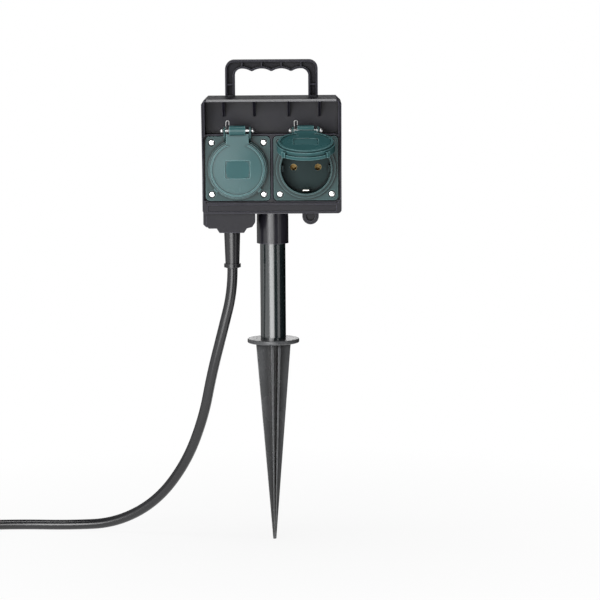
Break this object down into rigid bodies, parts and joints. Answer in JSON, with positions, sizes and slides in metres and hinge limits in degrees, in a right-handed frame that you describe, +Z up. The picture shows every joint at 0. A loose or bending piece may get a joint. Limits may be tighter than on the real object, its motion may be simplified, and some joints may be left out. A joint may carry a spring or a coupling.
{
  "type": "garden socket spike",
  "caption": "Splash-proof garden power post: earthed sockets with sprung hinged lids in a hooded housing with a carry handle, on a tube with a ground spike, with a supply cord and plug",
  "frame": {"origin": "the tip of the ground spike, where it meets the ground before it is pressed in", "axes": "X is the width with +X to the right as the sockets are seen, -Y is the front that the sockets face, Z is up along the tube"},
  "size_m": [0.4736, 0.1319, 0.3785],
  "materials": {
    "black_housing": "fine grained moulding",
    "green_plastic": "satin moulding",
    "black_rubber": "matt rubber",
    "cord_rubber": "smooth rubber sheath",
    "grey_rubber": "matt rubber",
    "steel": "bright zinc plated",
    "brass": "plain",
    "nickel": "nickel plated brass",
    "grey_carrier": "plain moulding",
    "brown_core": "plain",
    "blue_core": "plain",
    "green_core": "plain"
  },
  "bodies": {
    "spike": {"cable_clamp": "black_housing", "cable_end": "cord_rubber", "clamp_screws": "steel", "cord_coil": "cord_rubber", "cord_tail": "cord_rubber", "earth_wires": "green_core", "front_housing": "black_housing", "ground_spike": "black_housing", "ground_tube": "black_housing", "housing_gasket": "grey_rubber", "housing_screws": "steel", "left_contact_carrier": "grey_carrier", "left_contacts": "brass", "left_earth_bracket": "nickel", "left_flange_gasket": "grey_rubber", "left_flange_screws": "steel", "left_hinge_pin": "steel", "left_lid_spring": "steel", "left_socket_insert": "green_plastic", "left_terminal_screws": "steel", "live_wires": "brown_core", "neutral_wires": "blue_core", "plug_body": "black_rubber", "plug_earth_contacts": "nickel", "plug_pins": "nickel", "rain_hood": "black_housing", "rear_housing": "black_housing", "right_contact_carrier": "grey_carrier", "right_contacts": "brass", "right_earth_bracket": "nickel", "right_flange_gasket": "grey_rubber", "right_flange_screws": "steel", "right_hinge_pin": "steel", "right_lid_spring": "steel", "right_socket_insert": "green_plastic", "right_terminal_screws": "steel", "strain_relief": "black_rubber", "supply_cord": "cord_rubber", "tube_screw": "steel"},
    "left_lid": {"left_lid": "green_plastic", "left_lid_seal": "black_rubber"},
    "right_lid": {"right_lid": "green_plastic", "right_lid_seal": "black_rubber"}
  },
  "joints": [
    {"name": "left_lid_hinge", "type": "hinge", "parent": "spike", "child": "left_lid", "pos_m": [-0.0262, -0.0358, 0.3259], "axis": [-1, 0, 0], "range_deg": [0, 110], "stiffness_Nm_per_rad": 0.004, "springref_deg": -100, "deforming": ["left_lid_spring"]},
    {"name": "right_lid_hinge", "type": "hinge", "parent": "spike", "child": "right_lid", "pos_m": [0.0262, -0.0358, 0.3259], "axis": [-1, 0, 0], "range_deg": [-74, 36], "stiffness_Nm_per_rad": 0.004, "springref_deg": -174, "deforming": ["right_lid_spring"]}
  ]
}
